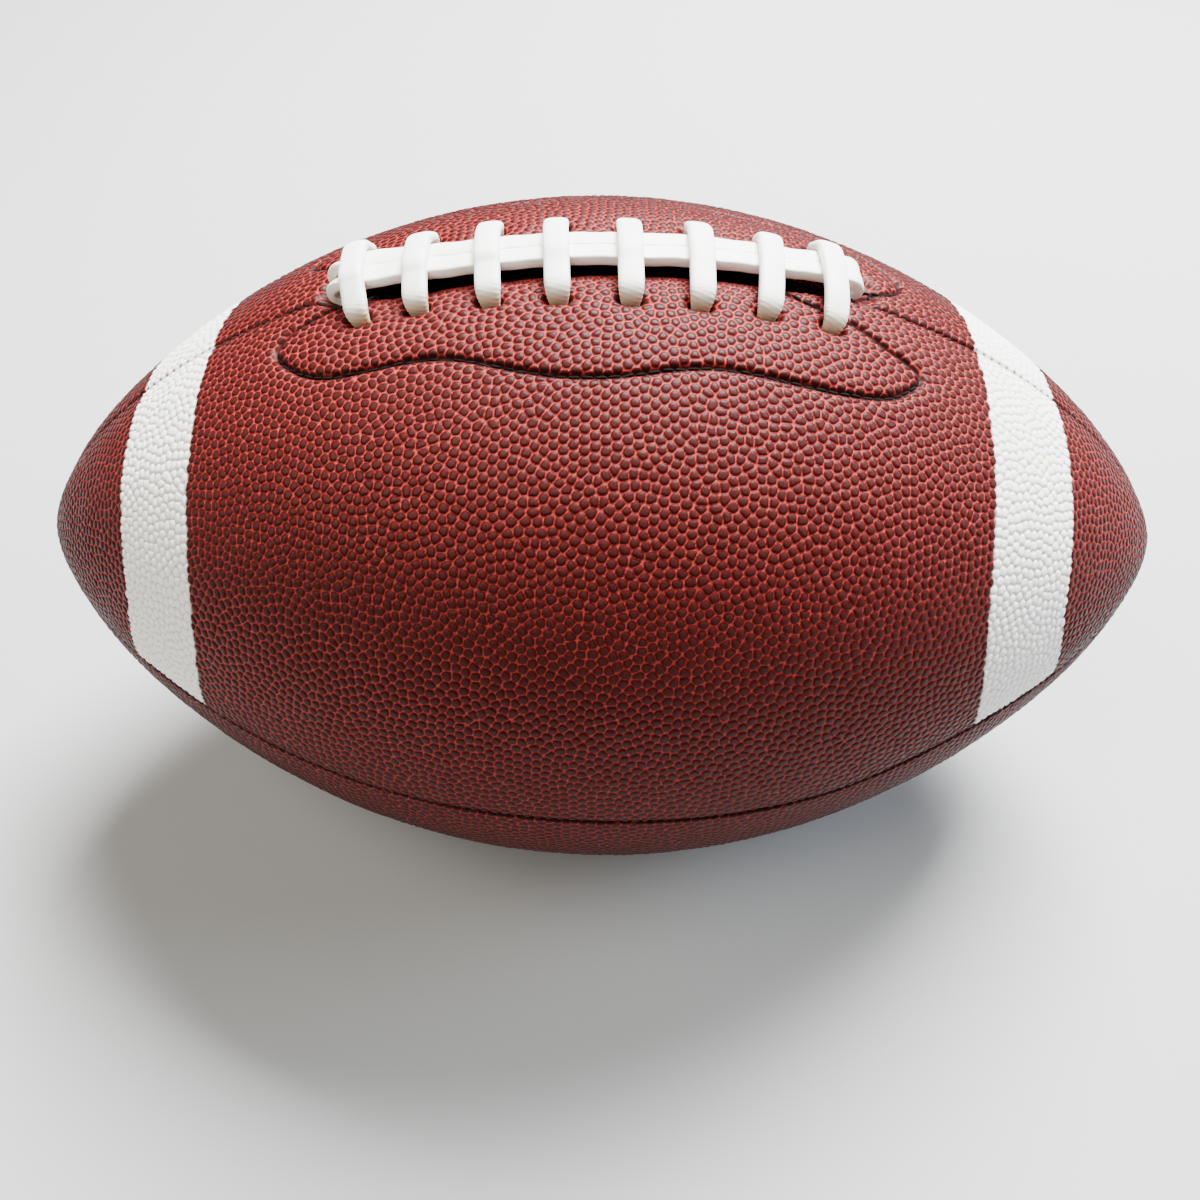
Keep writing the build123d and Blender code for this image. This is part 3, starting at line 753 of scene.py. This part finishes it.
def lace_cross(front_x, front_s, back_x, back_s):
    """One cross over the two long strands, from its front hole to its back hole."""
    mid_x = (front_x + back_x) / 2
    top = strand_height(mid_x) + 2 * LACE_HALF_THICK + 0.15
    mid = strand_centre(mid_x)
    wide = strand_width(mid_x)
    front, back = front_s, back_s
    route = np.array([  # s and height
        (front - 1.2, -5.0), (front - 0.3, -2.8), (front, -1.0), (front - 0.5, 0.7),
        (front - 2.2, 1.75), (max(mid + wide + 1.2, front - 6.5), top - 1.1),
        (mid + wide - 1.2, top - 0.1), (mid, top), (mid - wide + 1.2, top - 0.1),
        (min(mid - wide - 1.2, back + 4.5), top - 1.0), (back + 2.0, 1.6), (back + 0.5, 0.7),
        (back, -1.0), (back + 0.3, -2.8), (back + 1.2, -5.0)])
    mix = (front - route[:, 0]) / (front - back)
    xs = front_x + (back_x - front_x) * mix
    path = curve_through(on_ball(xs, route[:, 0], route[:, 1]), 180)
    t = np.linspace(0, 1, len(path))
    across_at = xs[6]
    across = on_ball(across_at + 1.0, 0.0, 0.0) - on_ball(across_at, 0.0, 0.0)
    from_end = np.minimum(t, 1 - t)
    full = np.sqrt(smooth((from_end - 0.10) / 0.11))  # 0 where the tape is pinched in its hole
    fray = 1 - smooth((from_end - 0.13) / 0.13)

    def ridges(i, cx):
        return 0.07 * np.sin(i[:, None] * 1.9 + cx[None, :] * 5.0) * fray[:, None]

    mesh = sweep(path, np.broadcast_to(across, path.shape), LACE_HALF_WIDTH * (0.72 + 0.28 * full),
                 LACE_HALF_THICK * (1.0 + 0.08 * (1 - full)), ridges=ridges)
    # The second value is the cream tint of each ring, towards the ends.
    return mesh, 1 - smooth((from_end - 0.11) / 0.11)


def lace_strand(side):
    """One long strand; both its ends curl over and go down into the opening."""
    left_radius, left_x = STRAND_LOOPS[side]
    xs = np.linspace(left_x, STRAND_RIGHT_END, 60)
    s = strand_centre(xs) + side * (strand_width(xs) / 2 - 0.04)
    path = [*on_ball(xs, s, strand_height(xs) + 0.06 * np.sin(xs * 0.9 + side))]
    for end, x, radius, reach in ((-1, left_x, left_radius, 1.15),
                                  (1, STRAND_RIGHT_END, STRAND_RIGHT_LOOP, 1.3)):
        turn = np.linspace(0, math.pi, 9)[1:]
        height = strand_height(x)
        lay = strand_centre(x) + side * strand_width(x) / 2
        loop = on_ball(x + end * radius * reach * np.sin(turn), np.full(8, lay),
                       height - radius * (1 - np.cos(turn)))
        under = height - 2 * radius
        tail = on_ball(x - end * np.array([1.6, 2.4]), np.full(2, lay * 0.85),
                       [under - 1.2, under - 4.5])
        curled = [*loop, *tail]
        path = [*curled[::-1], *path] if end < 0 else [*path, *curled]
    path = curve_through(path, 420)
    tilt = 0.62 * smooth((-51.5 - path[:, 0]) / 4.5)
    across = np.stack([0 * tilt, -np.cos(tilt), np.sin(tilt)], -1)
    mesh = sweep(path, across, strand_width(path[:, 0]) / 2, LACE_HALF_THICK, power=5.5)
    # The second value is the cream tint of each ring, towards the curled ends.
    return mesh, smooth((np.abs(path[:, 0]) - 53) / 3.5) * 0.6


def make_lace():
    pieces, end_tint = [], []
    for mesh, end_share in [*(lace_cross(*cross) for cross in CROSSES),
                       *(lace_strand(side) for side in (-1, 1))]:
        pieces.append(mesh)
        end_tint.append(np.append(np.repeat(end_share, SECTION_POINTS), [1, 1]))  # then its two caps
    end_tint = np.concatenate(end_tint)
    verts, faces = join(pieces)
    make_object("lace_tape", verts, faces, LACE, ["lace"],
                np.stack([end_tint, end_tint * 0, end_tint * 0, end_tint * 0 + 1], -1))


make_lace()


# ---- threads ------------------------------------------------------------------------
FACING_STITCH = 2.6
FACING_STITCH_DEPTH = 1.08
SEAM_STITCH = 2.5
SEAM_STITCH_END = arc_at(133)


def stitch(a, b, radius):
    """Short rounded stitch from a to b."""
    path = np.array([a + (b - a) * t for t in np.linspace(0, 1, 7)])
    along = (b - a) / np.linalg.norm(b - a)
    across = np.cross(along, [0.3, 0.2, 0.93])
    taper = radius * np.sqrt(np.clip(1 - np.linspace(-1, 1, 7) ** 4 * 0.85, 0.1, 1))
    return sweep(path, np.broadcast_to(across, path.shape), taper, taper, 8, 2)


def make_stitching(name, node, pieces):
    verts, faces = join(pieces)
    make_object(name, verts, faces, THREAD, [node])


def facing_stitching(side, label):
    curve = curve_through(facing_of(side), 1200)
    last = len(curve) - 1
    length = np.linalg.norm(np.diff(curve, axis=0), axis=1).sum()
    count = int(length / FACING_STITCH)
    pieces = []
    for i in range(count):
        start = curve[int((i + 0.06) / count * last)]
        stop = curve[int((i + 0.92) / count * last)]
        if min(start[1], stop[1]) < 2.5:  # too near the opening
            continue
        ends = [on_ball(x_at(along), side * across + rng.normal(0, 0.14),
                        -FACING_STITCH_DEPTH + rng.normal(0, 0.08))
                for along, across in (start, stop)]
        pieces.append(stitch(*ends, 0.34))
    make_stitching("facing_stitching_" + label, "thread_facing_" + label, pieces)


def seam_stitching(label, deg, start, stop):
    depth = 2.1 if deg == 0 else 1.25
    pieces = []
    for along in np.arange(start, stop, SEAM_STITCH):
        x = x_at(np.array([along + 0.45, along + 2.05]))
        lean = seam_lean(x) if deg == 90 else 0
        ends = on_ball(x, (math.radians(deg) + lean) * radius_at(x), -depth)
        pieces.append(stitch(*ends, 0.3))
    make_stitching("seam_stitching_" + label, "thread_" + label, pieces)


facing_stitching(1, "front")
facing_stitching(-1, "back")
seam_stitching("lace_seam_left", 0, -SEAM_STITCH_END, -arc_at(61))
seam_stitching("lace_seam_right", 0, arc_at(61), SEAM_STITCH_END)
seam_stitching("front_seam", 90, -SEAM_STITCH_END, SEAM_STITCH_END)
seam_stitching("belly_seam", 180, -SEAM_STITCH_END, SEAM_STITCH_END)
seam_stitching("back_seam", 270, -SEAM_STITCH_END, SEAM_STITCH_END)

# What lies behind the cover shows only in the shadow of the opening and the holes, so it gets painted
# shade: a near-black colour.
for node in ("lace_tongue", "facing_front", "facing_back", "lining_lace_front", "lining_lace_back"):
    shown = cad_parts[node]
    shown.data.materials.clear()
    shown.data.materials.append(INNER_SHADE)


# ---- floor, light and camera --------------------------------------------------------
def stage_floor():
    n = Nodes("floor")
    color = n.mix(n.noise(3, 2), srgb(176, 176, 175), srgb(183, 183, 182))
    n.set(Base_Color=color, Roughness=0.95, IOR=1.1)
    half = 6.0  # metres
    mesh = bpy.data.meshes.new("floor")
    mesh.from_pydata([(-half, -half, 0), (half, -half, 0), (half, half, 0), (-half, half, 0)], [],
                     [(0, 1, 2, 3)])
    mesh.materials.append(n.material)
    floor = bpy.data.objects.new("floor", mesh)
    bpy.context.scene.collection.objects.link(floor)


def area_light(name, place, target, size, power, color):
    light = bpy.data.lights.new(name, "AREA")
    light.shape = "RECTANGLE"
    light.size, light.size_y = size
    light.energy = power
    light.color = color
    obj = bpy.data.objects.new(name, light)
    obj.location = place
    obj.rotation_mode = "QUATERNION"
    obj.rotation_quaternion = (Vector(target) - Vector(place)).to_track_quat("-Z", "Y")
    bpy.context.scene.collection.objects.link(obj)


stage_floor()
area_light("key", (0.28, 0.60, 1.10), (0, 0, 0.08), (0.7, 0.5), 122, (0.97, 0.98, 1.0))
area_light("right_fill", (1.2, 0.10, 0.9), (0, 0, 0.08), (0.6, 0.6), 16, (0.76, 0.88, 1.0))
area_light("left_fill", (-1.1, -0.55, 0.9), (-0.08, 0, 0.10), (0.6, 0.5), 8, (1.0, 0.97, 0.90))
area_light("front_fill", (-0.5, -0.3, 1.3), (0, 0, 0.12), (0.7, 0.5), 9, (1.0, 0.95, 0.84))
world = bpy.data.worlds.new("studio")
world.use_nodes = True
background = world.node_tree.nodes["Background"]
background.inputs["Color"].default_value = (1, 1, 1, 1)
background.inputs["Strength"].default_value = 0.06
bpy.context.scene.world = world

camera = bpy.data.objects.new("camera", bpy.data.cameras.new("camera"))
camera.data.sensor_width = 36
camera.data.lens = 30.69
camera.data.clip_start = 0.005
# The camera's own right and back directions, and where it stands.
right = Vector((0.9998, 0.01992, -0.0003))
back = Vector((0.01249, -0.61525, 0.78824)).normalized()
up = back.cross(right).normalized()
right = up.cross(back)
place = Vector((3.99, -183.87, 205.85 + CENTRE_Z)) * MM
camera.matrix_world = Matrix((
    (right.x, up.x, back.x, place.x), (right.y, up.y, back.y, place.y),
    (right.z, up.z, back.z, place.z), (0, 0, 0, 1)))
bpy.context.scene.collection.objects.link(camera)
bpy.context.scene.camera = camera

bpy.context.view_layer.update()
